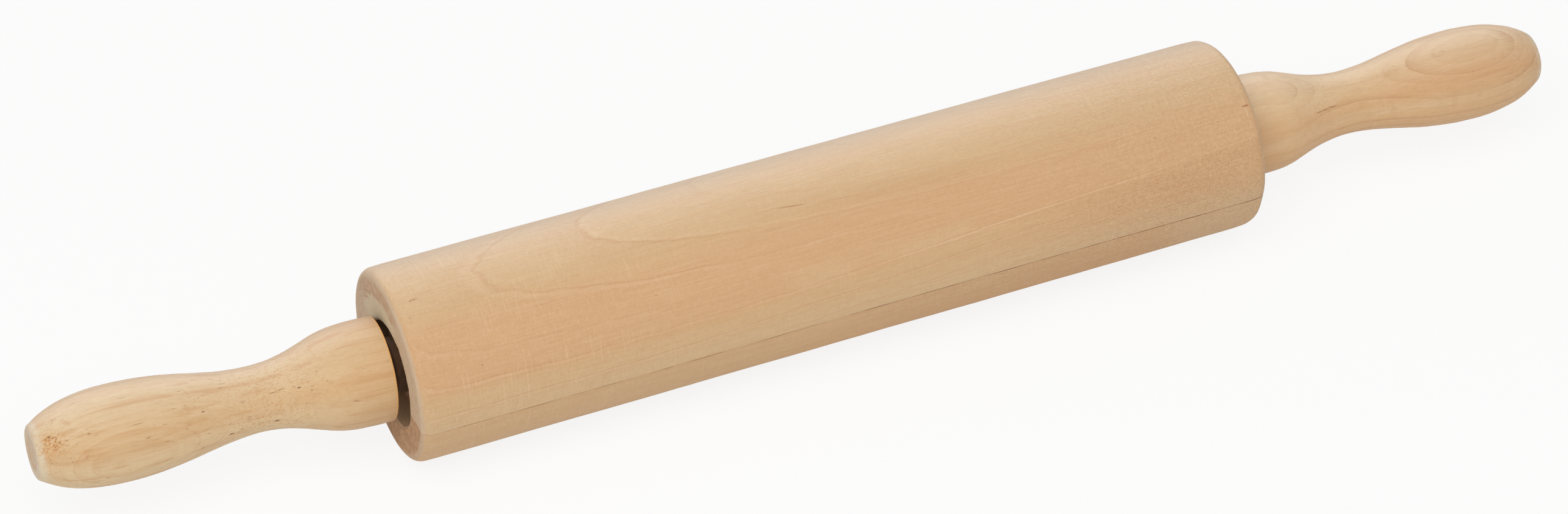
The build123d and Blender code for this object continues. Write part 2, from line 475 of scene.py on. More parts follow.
def make_handle(name):
    """A turned handle: its outline with faint tool marks and pits, its end grain faces and its bore."""
    side = SIDES[name]
    seed = HANDLE_SEED + side
    length = HANDLE_OUTLINE_MM[-1][0]
    root = HANDLE_OUTLINE_MM[0][1]
    root_radii = spread(HANDLE_BORE_RADIUS_MM, root - HANDLE_ROOT_ROUND_MM, HANDLE_STEP_MM)[1:]
    bore_depths = spread(HANDLE_BORE_DEPTH_MM, 0, BORE_STEP_MM)
    rows = [(depth, HANDLE_BORE_RADIUS_MM, "bore") for depth in bore_depths]
    rows += [(0, radius, "root") for radius in root_radii]
    for turn in spread(0, math.pi / 2, math.pi / 2 / ROOT_ROUND_STEPS)[1:]:
        part = HANDLE_ROOT_ROUND_MM
        rows.append((part * (1 - math.cos(turn)), root - part + part * math.sin(turn), "skin"))
    for along in spread(HANDLE_ROOT_ROUND_MM, length - HANDLE_END_REACH_MM, HANDLE_STEP_MM)[1:]:
        rows.append((along, handle_radius(along), "skin"))

    # The outer end is rounded by an arc that runs on from the outline
    before, last = rows[-2][1], rows[-1][1]
    reach = length - rows[-1][0]
    first_turn = math.atan2(before - last, rows[-1][0] - rows[-2][0])
    part = reach / (1 - math.sin(first_turn))
    for turn in spread(first_turn, math.pi / 2, math.pi / 2 / END_ROUND_STEPS)[1:]:
        arc_radius = last - part * (math.cos(first_turn) - math.cos(turn))
        rows.append((length - part * (1 - math.sin(turn)), arc_radius, "rim"))
    end_radii = spread(rows[-1][1], HANDLE_END_STEP_MM, HANDLE_END_STEP_MM)[1:]
    rows += [(length, radius, "end") for radius in end_radii]
    turns = np.linspace(0, 2 * np.pi, HANDLE_POINTS_ROUND, endpoint=False)
    along, radius, turn, kind = laid_out(rows, turns)
    place = at(along, radius, turn)

    # Slow waves, tool marks and pits in the skin
    skin = np.isin(kind, ["skin", "rim"])
    slow = uneven(place, HANDLE_WAVES, seed)
    mark_turns = 2 * np.pi * along / HANDLE_MARK_PITCH_MM + ripple(place, HANDLE_MARK_WAVE_MM, seed + 2)
    tool = HANDLE_MARK_MM * np.sin(mark_turns)
    sink = HANDLE_SINK_MM - slow - tool
    for pit in PITS[name]:
        sink = sink + hollow(along, turn, pit, PIT_BORDER_MM)
    if name == "left":
        torn = np.clip(0.4 + ripple(place, TORN_WAVE_MM, seed + 4), 0, 1.4)
        sink = sink + hollow(along, turn, TORN_END) * torn
    radius = radius - np.where(skin, np.maximum(sink, 0), 0)

    # The outer end is a little rough and hollow
    flat = kind == "end"
    rough = HANDLE_SINK_MM + HANDLE_SINK_MM * ripple(place, HANDLE_END_WAVE_MM, seed + 3)
    dish = HANDLE_END_DISH_MM * dip(radius, last)
    along = along - np.where(flat, np.maximum(rough + dish, 0), 0)

    # The bore is in line with the axle, and the rest leans
    start, axis, front, up = handle_axes(side)
    straight = np.array([(side, 0, 0), (0, 1, 0), (0, 0, 1)])
    leaning = np.array([axis, -front, up])
    place = at(along, radius, turn)
    points = np.where((kind == "bore")[..., None], place @ straight, place @ leaning)
    return object_from_rings(f"{name}_handle_turned", points + np.array(start), joined=False)


# Patterns


def empty_tree(owner):
    """The node tree of a new material or world, with nothing in it."""
    owner.use_nodes = True
    owner.node_tree.nodes.clear()
    return owner.node_tree


def add_node(tree, kind, inputs, **settings):
    """A new node with those settings. Its inputs, by number or name, are linked or get plain numbers."""
    node = tree.nodes.new(f"ShaderNode{kind}")
    for name, setting in settings.items():
        setattr(node, name, setting)
    for place, item in inputs.items():
        if isinstance(item, Value):
            item = item.socket
        if isinstance(item, bpy.types.NodeSocket):
            tree.links.new(item, node.inputs[place])
        else:
            node.inputs[place].default_value = item
    return node


class Value:
    """A number inside a material. Sums and products add Math nodes, so that a pattern reads as a formula."""

    def __init__(self, tree, socket):
        self.tree = tree
        self.socket = socket

    def math(self, operation, *others):
        """What that Math operation makes of this value and others, each a value or a plain number."""
        inputs = dict(enumerate((self, *others)))
        return Value(self.tree, add_node(self.tree, "Math", inputs, operation=operation).outputs[0])

    def __add__(self, other):
        return self.math("ADD", other)

    def __sub__(self, other):
        return self.math("SUBTRACT", other)

    def __mul__(self, other):
        return self.math("MULTIPLY", other)

    def __truediv__(self, other):
        return self.math("DIVIDE", other)

    def __abs__(self):
        return self.math("ABSOLUTE")

    def rest(self):
        """What this value lacks of 1."""
        return self * -1 + 1

    def hypot(self, other):
        """The length of the line whose two parts are this value and the other."""
        return (self * self + other * other).math("SQRT")

    def ramp(self, low, high, first=0, last=1):
        """This value's way from low to high, eased, as a way from first to last. Low may be above high."""
        inputs = dict(enumerate((self, low, high, first, last)))
        node = add_node(self.tree, "MapRange", inputs, interpolation_type="SMOOTHSTEP")
        return Value(self.tree, node.outputs[0])

    def near(self, centre, reach):
        """1 where this value is at centre, falling smoothly to 0 at its reach."""
        return abs(self - centre).ramp(reach, 0)


class Paint:
    """One material, laid out in millimetres along a piece, to its front and up, and its colour so far."""

    def __init__(self, name, origin_mm, axes):
        self.material = bpy.data.materials.new(name)
        self.tree = empty_tree(self.material)
        self.shader = add_node(self.tree, "BsdfPrincipled", {})
        add_node(self.tree, "OutputMaterial", {"Surface": self.shader.outputs[0]})
        self.colour = None
        given = add_node(self.tree, "TexCoord", {}).outputs
        scaled = self.vector("MULTIPLY", given["Object"], (1 / MM,) * 3)
        moved = self.vector("SUBTRACT", scaled, tuple(origin_mm))
        parts = [self.vector("DOT_PRODUCT", moved, tuple(axis)) for axis in axes]
        self.place = add_node(self.tree, "CombineXYZ", dict(enumerate(parts))).outputs[0]
        self.along, self.front, self.up = [Value(self.tree, part) for part in parts]
        self.facing = Value(self.tree, self.vector("DOT_PRODUCT", given["Normal"], tuple(axes[0])))

    def vector(self, operation, first, second):
        """What that Vector Math operation makes of two vectors, each a socket or plain numbers."""
        node = add_node(self.tree, "VectorMath", {0: first, 1: second}, operation=operation)
        return node.outputs["Value" if operation == "DOT_PRODUCT" else "Vector"]

    def grain(self, *per_mm, detail=2, rough=0.5, shift=(0, 0, 0)):
        """Soft noise, 0 to 1, with so many waves in a millimetre along the piece, to its front and up."""
        moved = self.vector("ADD", self.vector("MULTIPLY", self.place, per_mm), shift)
        inputs = {"Vector": moved, "Scale": 1, "Detail": detail, "Roughness": rough}
        return Value(self.tree, add_node(self.tree, "TexNoise", inputs).outputs[0])

    def noise(self, per_mm_along, per_mm_across, low, high, **settings):
        """The same grain, as fine to the front as up, eased from 0 at low to 1 at high."""
        return self.grain(per_mm_along, per_mm_across, per_mm_across, **settings).ramp(low, high)

    def turned(self, angle):
        """How far a point is beside a line that leaves the axis at that angle, and how far out along it."""
        aside = self.front * -math.sin(angle) + self.up * math.cos(angle)
        outwards = self.front * math.cos(angle) + self.up * math.sin(angle)
        return aside, outwards

    def spot(self, radius, mark):
        """A mark on the skin, soft at its border, no stronger than it asks."""
        where, angle, half_length, half_width, slant, strength = mark
        aside, outwards = self.turned(math.radians(angle))
        near_side = outwards.ramp(0.5 * radius, 0.6 * radius)
        run = self.along - where
        away = (run / half_length).hypot((aside - run * slant) / half_width)
        return away.ramp(MARK_SOLID, MARK_GONE, strength, 0) * near_side

    def mix(self, amount, first, second):
        """The first colour, turned by that amount into the second."""
        return add_node(self.tree, "Mix", {0: amount, 6: first, 7: second}, data_type="RGBA").outputs[2]

    def tint(self, amount, tone):
        """The material's colour so far turns by that amount into the tone."""
        self.colour = self.mix(amount, self.colour, tone)

    def curve(self, value, points):
        """A value passed through a curve of straight runs, given as pairs."""
        low = points[0][0]
        high = points[-1][0]
        most = max(abs(pair[1]) for pair in points)
        node = add_node(self.tree, "FloatCurve", {"Value": (value - low) / (high - low)})
        curve = node.mapping.curves[0]
        for _ in points[2:]:
            curve.points.new(0.5, 0.5)
        for point, (where, amount) in zip(curve.points, points):
            point.location = (where - low) / (high - low), amount / most
            point.handle_type = "VECTOR"
        node.mapping.use_clip = False
        node.mapping.update()
        return Value(self.tree, node.outputs[0]) * most

    def finish(self, roughness, height, relief_mm):
        """The colour so far, the roughness and a fine relief go to the shader."""
        bump = add_node(self.tree, "Bump", {"Strength": 1, "Distance": relief_mm * MM, "Height": height})
        self.tree.links.new(self.colour, self.shader.inputs["Base Color"])
        self.tree.links.new(roughness.socket, self.shader.inputs["Roughness"])
        self.tree.links.new(bump.outputs[0], self.shader.inputs["Normal"])
        return self.material


# The middle of the barrel's axis, the frame's own axes, and the barrel's: along it, to its front and up
AXIS_MIDDLE_MM = (0, 0, AXIS_HEIGHT_MM)
FRAME_AXES = ((1, 0, 0), (0, 1, 0), (0, 0, 1))
BARREL_AXES = ((1, 0, 0), (0, -1, 0), (0, 0, 1))

# The barrel's growth rings: their pith runs below the axis, a little askew, and the tree tapers
PITH_DROP_MM = 7.8
PITH_OFFSET_MM = -4.4
PITH_SKEW = -0.057
TAPER = 0.0302
TAPER_BEND = -0.000117
TAPER_START_MM = 5.94

# The rings that show on the barrel's front, from the lowest to the highest: radius, and how clear each is
RINGS = (
    (33.9, 0.9),
    (35.4, 0.4),
    (37.1, 0.9),
    (38.6, 1),
    (40.4, 0.7),
    (42.8, 0.6),
    (44.7, 0.75),
    (46.7, 0.6),
)
LOWEST_RING_MM = RINGS[0][0]
HIGHEST_RING_MM = RINGS[-1][0]
RING_GAP_MM = 1.85
INNER_RINGS = 12
OUTER_RINGS = 8
FAINT_RING = 0.15

WOOD_TONE = linear(211, 170, 126)
WOOD_PINK = linear(210, 167, 123)
WOOD_YELLOW = linear(210, 178, 133)
WOOD_PALE = linear(214, 187, 146)
# The pale haze of a painted highlight on the barrel's back
PAINTED_HAZE_TONE = linear(216, 192, 163)
WOOD_LOW = linear(213, 167, 107)
WOOD_DARK = linear(194, 141, 95)
WOOD_RED = linear(207, 155, 111)
WOOD_LIGHT = linear(232, 203, 166)
END_ORANGE = linear(196, 154, 112)
END_BROWN = linear(168, 122, 80)
END_DARK = linear(132, 88, 54)
END_PALE = linear(210, 184, 154)
END_LIGHT = linear(222, 208, 182)
DASH_TONE = linear(142, 86, 46)
TORN_TONE = linear(206, 148, 84)
# The painted shade inside the recesses
RECESS_SHADE_TONE = linear(98, 70, 48)
# Pale filler tone with a painted highlight, for the dish at the left end
FILLER_AND_HIGHLIGHT_TONE = linear(218, 202, 168)
FLECK_TONE = linear(156, 96, 48)
SEAM_TONE = linear(134, 84, 46)
EDGE_TONE = linear(244, 184, 106)
# Nylon kept dark brown as painted shade in the gaps beside the handles
NYLON_LIGHT = linear(112, 82, 58)
NYLON_DARK = linear(92, 66, 46)
AXLE_TONE = linear(176, 176, 174)
WASHER_TONE = linear(150, 148, 144)
STEEL_SMEAR = linear(140, 138, 134)

# A mark is solid out to one share of its half length and width, and gone at the other
MARK_SOLID = 0.3
MARK_GONE = 1.15

# How deep the fine relief of a surface is
WOOD_RELIEF_MM = 0.05
SMOOTH_RELIEF_MM = 0.01

# Marks: distance along and angle, half length and half width, how far they slant, and how strong
BARREL_MARKS = (
    (-12.2, 69.2, 5.5, 0.22, -0.12, 0.6),
    (2, 65.8, 8, 0.3, -0.1, 0.14),
    (-121.2, 76.5, 1.7, 0.42, 0, 0.45),
    (-122.2, 76.2, 0.4, 0.24, 0, 0.85),
    (-120.9, 76.8, 0.4, 0.22, 0, 0.75),
    (-124, 66, 0.5, 0.25, 0, 0.4),
    (-108.7, 28.8, 0.28, 0.25, 0, 0.85),
    (124.6, 53.6, 1.4, 0.34, 0, 0.85),
    (95.5, 49.4, 0.4, 0.3, 0, 0.6),
    (-57, 40, 0.5, 0.25, 0, 0.4),
)

# Cracks and dots in the left end's grain: distance to the back and up, half width, half height, strength
END_MARKS = (
    (-19.5, 9.7, 0.16, 0.85, 0.85),
    (-20.4, 8.1, 0.14, 0.7, 0.75),
    (-12.2, 11.2, 0.35, 0.25, 0.6),
    (-16.6, 15.6, 0.2, 0.2, 0.5),
    (-21.6, 5.2, 0.12, 0.6, 0.4),
    (-9, 16.4, 0.25, 0.2, 0.6),
    (-5.4, 17.9, 0.22, 0.18, 0.6),
    (-18.2, 2.4, 0.18, 0.4, 0.45),
)


def layered(values):
    """The strongest of several values."""
    strongest = values[0]
    for value in values[1:]:
        strongest = strongest.math("MAXIMUM", value)
    return strongest


def sanded(wood, seed, rubbed):
    """Fibres and vessels along the grain, and scratches across it where it is rubbed. Gives their relief."""
    fibre = wood.grain(0.07, 1.9, 1.9, detail=3, rough=0.6, shift=seed)
    wood.tint(fibre.ramp(0.48, 0.7) * 0.17, WOOD_DARK)
    wood.tint(fibre.ramp(0.5, 0.3) * 0.13, WOOD_LIGHT)
    vessel = wood.noise(0.45, 3.6, 0.66, 0.78, detail=1, shift=seed)
    wood.tint(vessel * 0.2, WOOD_DARK)
    weave = wood.grain(3.2, 0.45, 0.45, shift=seed)
    wood.tint(weave.ramp(0.52, 0.72) * rubbed * 0.16, WOOD_LIGHT)
    wood.tint(weave.ramp(0.46, 0.3) * rubbed * 0.13, WOOD_DARK)
    cluster = wood.noise(0.06, 0.08, 0.42, 0.62, shift=seed)
    short = wood.noise(2.4, 0.16, 0.56, 0.74, detail=1, shift=seed)
    long = wood.noise(1.5, 0.05, 0.58, 0.74, detail=1, shift=seed)
    scratch = layered((short * cluster * 0.8, long * cluster)) * rubbed
    wood.tint(scratch * 0.26, WOOD_LIGHT)
    blotch = wood.noise(0.5, 0.9, 0.35, 0.68, detail=3, rough=0.6, shift=seed)
    wood.tint(blotch * 0.09, WOOD_DARK)
    relief = fibre * 0.5 - vessel * 0.5 - scratch * 0.4 + weave * 0.3
    return relief, fibre


def sheen_of_sanded_wood(wood):
    """A little shine, and a faint pale one where the wood is seen at a slant."""
    wood.shader.inputs["Specular IOR Level"].default_value = 0.5
    wood.shader.inputs["Sheen Weight"].default_value = 0.05
    wood.shader.inputs["Sheen Roughness"].default_value = 0.5


def barrel_wood():
    """The barrel's two boards of pale wood, with long growth rings, their seam, and end grain."""
    wood = Paint("barrel_wood_sanded", AXIS_MIDDLE_MM, BARREL_AXES)
    x, z = wood.along, wood.up
    y = wood.front * -1

    # Growth rings round a pith below the axis. They meet the surface as long pointed arches along the top.
    wander = wood.grain(0.012, 0.05, 0.05) - 0.5
    shiver = wood.grain(0.1, 0.25, 0.25, detail=3, rough=0.6, shift=(7, 3, 1)) - 0.5
    from_pith = (y - PITH_OFFSET_MM - x * PITH_SKEW).hypot(z + PITH_DROP_MM)
    ring = from_pith + x * TAPER + x * x * TAPER_BEND + TAPER_START_MM + wander * 0.35 + shiver * 0.34
    innermost = LOWEST_RING_MM - INNER_RINGS * RING_GAP_MM
    outermost = HIGHEST_RING_MM + OUTER_RINGS * RING_GAP_MM
    counted = [(radius, INNER_RINGS + number) for number, (radius, _) in enumerate(RINGS)]
    last_count = counted[-1][1] + OUTER_RINGS
    part = wood.curve(ring, [(innermost, 0), *counted, (outermost, last_count)]).math("FRACT")
    clear = wood.curve(ring, [(innermost, FAINT_RING), *RINGS, (outermost, FAINT_RING)])
    fade = wood.noise(0.02, 0.07, 0.3, 0.65, shift=(2, 9, 4)) * 0.4 + 0.6
    clear = clear * fade * (ring.ramp(34.6, 35.2) * x.ramp(-55, -15) * -0.55 + 1)

    # A thin dark line runs along each ring, and a light one below the low rings and above the others
    low_rings = ring.ramp(37.9, 37.5)
    dark_line = part.near(0.97, 0.05) * clear
    light_sides = (part.near(0.89, 0.1) * low_rings, part.near(0.05, 0.06) * low_rings.rest())
    light_line = layered(light_sides) * clear
    late = part.ramp(0.35, 1) * clear

    # Two boards: the lower one is straighter and redder
    below = z.ramp(-SEAM_DROP_MM + 0.12, -SEAM_DROP_MM - 0.12)
    above = below.rest()
    low_band = ring.ramp(LOWEST_RING_MM - 0.1, LOWEST_RING_MM - 0.9)
    right_end = x.ramp(30, 105)
    clouds = wood.noise(0.012, 0.07, 0.35, 0.65, detail=3, shift=(4, 1, 8))
    wood.colour = wood.mix(clouds * 0.8, WOOD_TONE, WOOD_PINK)
    patches = wood.noise(0.03, 0.12, 0.35, 0.6, shift=(5, 5, 2))
    wood.tint(low_band * (right_end * -0.8 + 1) * 0.55, WOOD_YELLOW)
    wood.tint(low_band * right_end * patches * 0.14, WOOD_RED)
    pale = wood.noise(0.04, 0.1, 0.42, 0.6, shift=(1, 3, 6)) * x.near(5, 75)
    pale = pale * ring.near(LOWEST_RING_MM + 0.4, 1.8)
    wood.tint(pale * 0.4, WOOD_PALE)
    band = ring.ramp(38.8, 39.2) * ring.ramp(40.4, 39.9) * x.near(14, 50)
    wood.tint(band * 0.45, WOOD_DARK)
    wood.tint(z.ramp(21, 27) * 0.75, WOOD_YELLOW)
    # Painted highlight: a pale haze painted towards the back of the barrel, where its top edge catches the
    # light
    wood.tint(y.ramp(0, 15) * 0.65, PAINTED_HAZE_TONE)
    wood.tint(z.ramp(8, -3) * above * 0.6, WOOD_PALE)
    wood.tint(z.ramp(-5, -19) * 0.7, WOOD_LOW)
    wood.tint(late * above * 0.16, WOOD_DARK)
    wood.tint(dark_line * above * 0.38, WOOD_DARK)
    lowest = ring.near(LOWEST_RING_MM, 0.5) * x.ramp(-40, 40)
    wood.tint(light_line * above * (lowest * 0.35 + 0.23), WOOD_LIGHT)
    straight = wood.noise(0.01, 0.7, 0.35, 0.7, detail=3, shift=(1, 7, 7))
    wood.tint(below * x.ramp(20, -60) * 0.6, WOOD_YELLOW)
    wood.tint(below * straight * 0.23, WOOD_DARK)
    wood.tint(below * x.ramp(85, 112) * 0.5, WOOD_PALE)
    upright = wood.noise(1.1, 0.08, 0.42, 0.7, shift=(6, 2, 7))
    wood.tint(below * x.near(40, 60) * upright * 0.3, WOOD_RED)

    rubbed = layered((x.ramp(-25, -80), x.ramp(60, 110))) * 0.7 + 0.35
    relief, fibre = sanded(wood, (0, 6, 2), rubbed)
    speckled = layered((below * x.ramp(-30, 40), low_band * right_end))
    speckle = wood.noise(2.3, 3, 0.5, 0.68, detail=1, shift=(3, 8, 5)) * speckled
    wood.tint(speckle * 0.26, WOOD_DARK)
    pebble = wood.grain(1, 1.4, 1.4, detail=3, rough=0.65, shift=(2, 5, 9))
    wood.tint(pebble.ramp(0.6, 0.4) * (right_end * 0.06 + 0.05), SEAM_TONE)
    relief = relief - speckle * 1.2 + pebble * (right_end * 2.2 + 0.9)
    marks = layered([wood.spot(BARREL_RADIUS_MM, mark) for mark in BARREL_MARKS])
    wood.tint(marks, FLECK_TONE)

    # The seam: a hair of dark glue, broken at the left and clear at the right
    seam_wave = (x / SEAM_WAVE_MM + SEAM_PHASE).math("SINE") * SEAM_SWAY_MM
    seam = abs(z + SEAM_DROP_MM - seam_wave).ramp(0.26, 0.04)
    broken = wood.noise(0.1, 0, 0.4, 0.6, detail=3, shift=(8, 2, 2)) * 0.5
    seam = seam * (broken + x.ramp(-15, 20) * 0.35 + 0.12)
    wood.tint(seam, SEAM_TONE)

    # End grain: pale above the seam at the front, more orange towards the top and below the seam
    side_colour = wood.colour
    ends = abs(wood.facing).ramp(0.62, 0.9)
    radius = y.hypot(z)
    mottle = wood.noise(0.2, 0.6, 0.38, 0.62, detail=5, rough=0.7, shift=(9, 9, 9))
    orange = z.ramp(9, 18) * wood.front.ramp(11, 2)
    wood.colour = wood.mix(mottle * 0.35, END_PALE, END_ORANGE)
    wood.tint(orange * (mottle * 0.5 + 0.3), END_ORANGE)
    wood.tint(orange * mottle * 0.22, END_BROWN)
    wood.tint(below, wood.mix(mottle * 0.8, END_ORANGE, END_BROWN))
    pores = wood.noise(0.5, 2.6, 0.57, 0.72, shift=(6, 1, 3))
    wood.tint(pores * (below * 0.25 + orange * 0.15 + 0.12), END_DARK)
    rays = wood.grain(0.1, 1.2, 0.25, shift=(4, 4, 1)).ramp(0.5, 0.75)
    wood.tint(rays * above * 0.22, WOOD_LIGHT)
    wood.tint(part.near(0.93, 0.12) * (above * 0.1 + 0.14), END_DARK)
    left_end = x.ramp(-100, -120)
    # The dish at the left end's top is painted pale: filler, with a painted highlight on it
    dish = (wood.turned(DISH_ANGLE)[1] / radius).ramp(0.55, 0.9) * left_end
    dish = dish * (radius + mottle * 1.5).ramp(DISH_EDGE_MM + 0.6, DISH_EDGE_MM - 1.4)
    wood.tint(dish * 0.85, FILLER_AND_HIGHLIGHT_TONE)
    wood.tint(radius.ramp(24, 25.5) * 0.6, END_PALE)
    cracks = layered([
        ((y - back) / half_width).hypot((z - up) / half_height).ramp(MARK_SOLID, MARK_GONE, strength, 0)
        for back, up, half_width, half_height, strength in END_MARKS
    ])
    wood.tint(cracks * left_end, END_DARK)
    wood.colour = wood.mix(ends, side_colour, wood.colour)

    # Painted shade darkens the recesses inside, least at their tops and bottoms
    lip = RECESS_CHAMFER_MM
    inside = abs(x).ramp(HALF_BARREL_MM - lip, HALF_BARREL_MM - 1.6)
    inside = inside * radius.ramp(RECESS_RADIUS_MM + lip, RECESS_RADIUS_MM)
    shade = layered((z.ramp(-11, -16), z.ramp(5, 12))) * -0.6 + 0.8
    wood.tint(inside * shade, RECESS_SHADE_TONE)
    relief = relief - pores * ends * 0.9 + rays * ends * 0.4
    sheen_of_sanded_wood(wood)
    return wood.finish(fibre * 0.12 + ends * 0.12 + 0.5, relief, WOOD_RELIEF_MM)


# How each handle's wood looks: its tones, how strong each effect is, the angle that its rings face, and
# the rings themselves, each as how far out from the handle's axis it stands and how dark it is
HANDLE_LOOKS = {
    "left": {
        "pale": linear(220, 194, 155), "warm": linear(211, 175, 129), "dark": linear(194, 138, 84),
        "low": linear(221, 194, 151), "mark": linear(118, 68, 36),
        "root": 0.8, "belly": 0, "back": 0.2, "orange": 0.75, "torn": 0.5, "late": 0.65, "dashes": 0.8,
        "seed": (3, 14, 1), "heading": 5, "bend": -3.4,
        "rings": (
            (12.6, 0.14), (11.4, 0.2), (10, 0.14), (8.7, 0.16), (7.3, 0.1), (5.8, 0.12),
            (3.2, 0.1), (0.5, 0.1), (-3.4, 0.12), (-6.8, 0.1), (-9.5, 0.12),
        ),
    },
    "right": {
        "pale": linear(223, 194, 154), "warm": linear(211, 169, 122), "dark": linear(186, 136, 92),
        "low": linear(219, 178, 130), "mark": linear(142, 88, 48),
        "root": 0, "belly": 0.4, "back": 0, "orange": 0.25, "torn": 0.12, "late": 1.25, "dashes": 0.35,
        "seed": (8, 2, 6), "heading": 75, "bend": 2.7,
        "rings": (
            (12.9, 0.1), (11.6, 0.36), (10.3, 0.12), (7.45, 0.34), (4.6, 0.14),
            (1.6, 0.32), (-1.9, 0.32), (-5.2, 0.26), (-8.4, 0.24), (-11.3, 0.24),
        ),
    },
}
HANDLE_PITH_MM = 70

# How wide a ring's dark line is, how far its shade fades, and where its light line is and how wide
LINE_MM = 0.14
SHADE_MM = 1.1
GLINT_OFF_MM = 0.24
GLINT_MM = 0.2

# Streaks on the handles' skin, written as the barrel's marks are
HANDLE_STREAKS = {
    "left": (
        (11, 36, 7, 2.6, 0, 0.16),
        (10.5, 13, 6.5, 0.8, 0.1, 0.22),
        (77.2, -0.6, 3, 0.5, 0, 0.42),
        (77, 3.5, 2, 2.2, 0, 0.16),
        (81, 47.4, 2.6, 0.4, 0, 0.36),
        (72, 37, 11, 1.3, 0.02, 0.16),
        (88.9, 71, 1.5, 1, 0.6, 0.34),
        (57.2, 53, 1.2, 0.7, 0, 0.26),
        (12.6, 99, 4.2, 0.4, 0, 0.3),
        (69, 96, 2.6, 0.4, 0, 0.26),
        (85.5, 97, 1.6, 0.5, 0, 0.2),
        (34.8, 61.5, 3.2, 0.3, -0.14, 0.3),
        (53.5, 31, 2.2, 0.35, 0.1, 0.24),
        (6, -20, 3, 0.4, 0, 0.22),
        (8, 25, 6, 0.35, 0.03, 0.2),
        (5, 20, 5, 0.25, 0, 0.22),
    ),
    "right": (
        (26.5, 37, 4.6, 0.38, 0.14, 0.45),
        (79, 35, 8, 0.5, 0.02, 0.2),
        (11.5, 102, 1.4, 2.4, 0, 0.24),
        (66, 9, 1.2, 4, 0, 0.16),
        (74, 9, 1.2, 1, 0, 0.2),
        (84.5, 75, 3, 0.3, 0, 0.22),
        (47.5, 11, 0.8, 2.6, 0, 0.12),
    ),
}


def handle_wood(name):
    """A handle's wood: rings that run along it, streaks and pits, worn grain near its end, and end grain."""
    side = SIDES[name]
    look = HANDLE_LOOKS[name]
    seed = look["seed"]
    start, *axes = handle_axes(side)
    wood = Paint(f"{name}_handle_wood_sanded", start, axes)
    wander = wood.grain(0.02, 0.06, 0.06, shift=seed) - 0.5
    shiver = wood.grain(0.08, 0.3, 0.3, shift=seed) - 0.5
    aside, towards = wood.turned(math.radians(look["heading"]))
    ring = (towards + HANDLE_PITH_MM).hypot(aside) - HANDLE_PITH_MM + wander * 0.9 + shiver * 0.3
    ring = ring - wood.along.ramp(2, 36, look["bend"], 0)
    fade = wood.noise(0.03, 0.09, 0.3, 0.65, shift=seed) * 0.7 + 0.3
    clouds = wood.noise(0.02, 0.12, 0.35, 0.65, detail=3, shift=seed)
    rise = wood.up / wood.front.hypot(wood.up)
    wood.colour = wood.mix(rise.near(0.45, 0.5) * 0.7 + clouds * 0.3, look["pale"], look["warm"])
    wood.tint(rise.ramp(0.3, -0.1), look["low"])
    wood.tint(wood.along.ramp(32, 4) * look["root"], look["warm"])
    # Painted shade: the handle darkens towards its back
    wood.tint(wood.front.ramp(0.5, -3) * look["back"], WOOD_DARK)
    belly = wood.along.ramp(34, 56) * rise.near(0.66, 0.5)
    wood.tint(belly * look["belly"], WOOD_RED)
    streaky = wood.noise(0.025, 0.45, 0.5, 0.72, detail=3, shift=(2, 2, 7))
    wood.tint(streaky * look["orange"] * 0.6, look["dark"])
    fade = fade * (wood.along.ramp(8, 34) * 0.75 + 0.25)
    past = [(ring - level, strength) for level, strength in look["rings"]]
    lines = layered([abs(beyond).ramp(0, LINE_MM, strength, 0) for beyond, strength in past])
    late = layered([beyond.ramp(-0.08, 0) * beyond.ramp(0, SHADE_MM, shade, 0) for beyond, shade in past])
    glints = layered([abs(beyond + GLINT_OFF_MM).ramp(0, GLINT_MM, light, 0) for beyond, light in past])
    wood.tint(lines * fade, look["dark"])
    wood.tint(late * fade * look["late"], look["dark"])
    wood.tint(glints * fade * 0.35, WOOD_LIGHT)
    neck = wood.along.near(34, 24)
    relief, fibre = sanded(wood, seed, neck * 0.35 + 0.3)

    streaks = layered([wood.spot(handle_radius(mark[0]), mark) for mark in HANDLE_STREAKS[name]])
    wood.tint(streaks, look["dark"])
    torn = wood.noise(1.2, 1.7, 0.52, 0.7, shift=seed) * neck
    wood.tint(torn * look["torn"], look["dark"])
    dashes = wood.noise(0.34, 2.8, 0.67, 0.76, detail=1, shift=seed)
    dashes = dashes * wood.noise(0.05, 0.16, 0.46, 0.66, shift=seed) * wood.along.ramp(12, 26, 0.35, 1)
    wood.tint(dashes * look["dashes"], DASH_TONE)
    relief = relief - torn * look["torn"] - dashes * 0.8
    if name == "left":
        where, angle, half_length, half_width, _ = TORN_END
        zone = wood.spot(handle_radius(where), (where, angle, half_length, half_width, 0, 1))
        crumbs = wood.grain(1.1, 1.5, 1.5, detail=3, rough=0.65, shift=(7, 7, 3))
        wood.tint(zone * crumbs.ramp(0.4, 0.6) * 0.8, TORN_TONE)
        wood.tint(zone * crumbs.ramp(0.56, 0.64) * 0.75, DASH_TONE)
        relief = relief - zone * crumbs * 2
    pits = []
    for where, angle, half_length, half_width, deep in PITS[name]:
        mark = (where, angle, half_length * 1.25, half_width * 0.75, 0, min(0.9, 0.12 + deep * 4))
        pits.append(wood.spot(handle_radius(where), mark))
    wood.tint(layered(pits), look["mark"])

    ends = abs(wood.facing).ramp(0.75, 0.95)
    mottle = wood.noise(0.2, 0.6, 0.35, 0.68, detail=4, rough=0.65, shift=seed)
    end_colour = wood.mix(lines, wood.mix(mottle, END_PALE, END_ORANGE), END_DARK)
    wood.tint(ends * 0.8, end_colour)
    length = HANDLE_OUTLINE_MM[-1][0]
    pale_rim = wood.along.ramp(length - 2.6, length - 1.4) * wood.front.hypot(wood.up).ramp(4.2, 5.6)
    wood.tint(pale_rim * (mottle * 0.5 + 0.3), END_LIGHT)
    root_edge = wood.along.ramp(0.75, 0.15) * ends.rest()
    wood.tint(root_edge * 0.95, EDGE_TONE)
    sheen_of_sanded_wood(wood)
    return wood.finish(fibre * 0.12 + 0.48, relief, WOOD_RELIEF_MM)


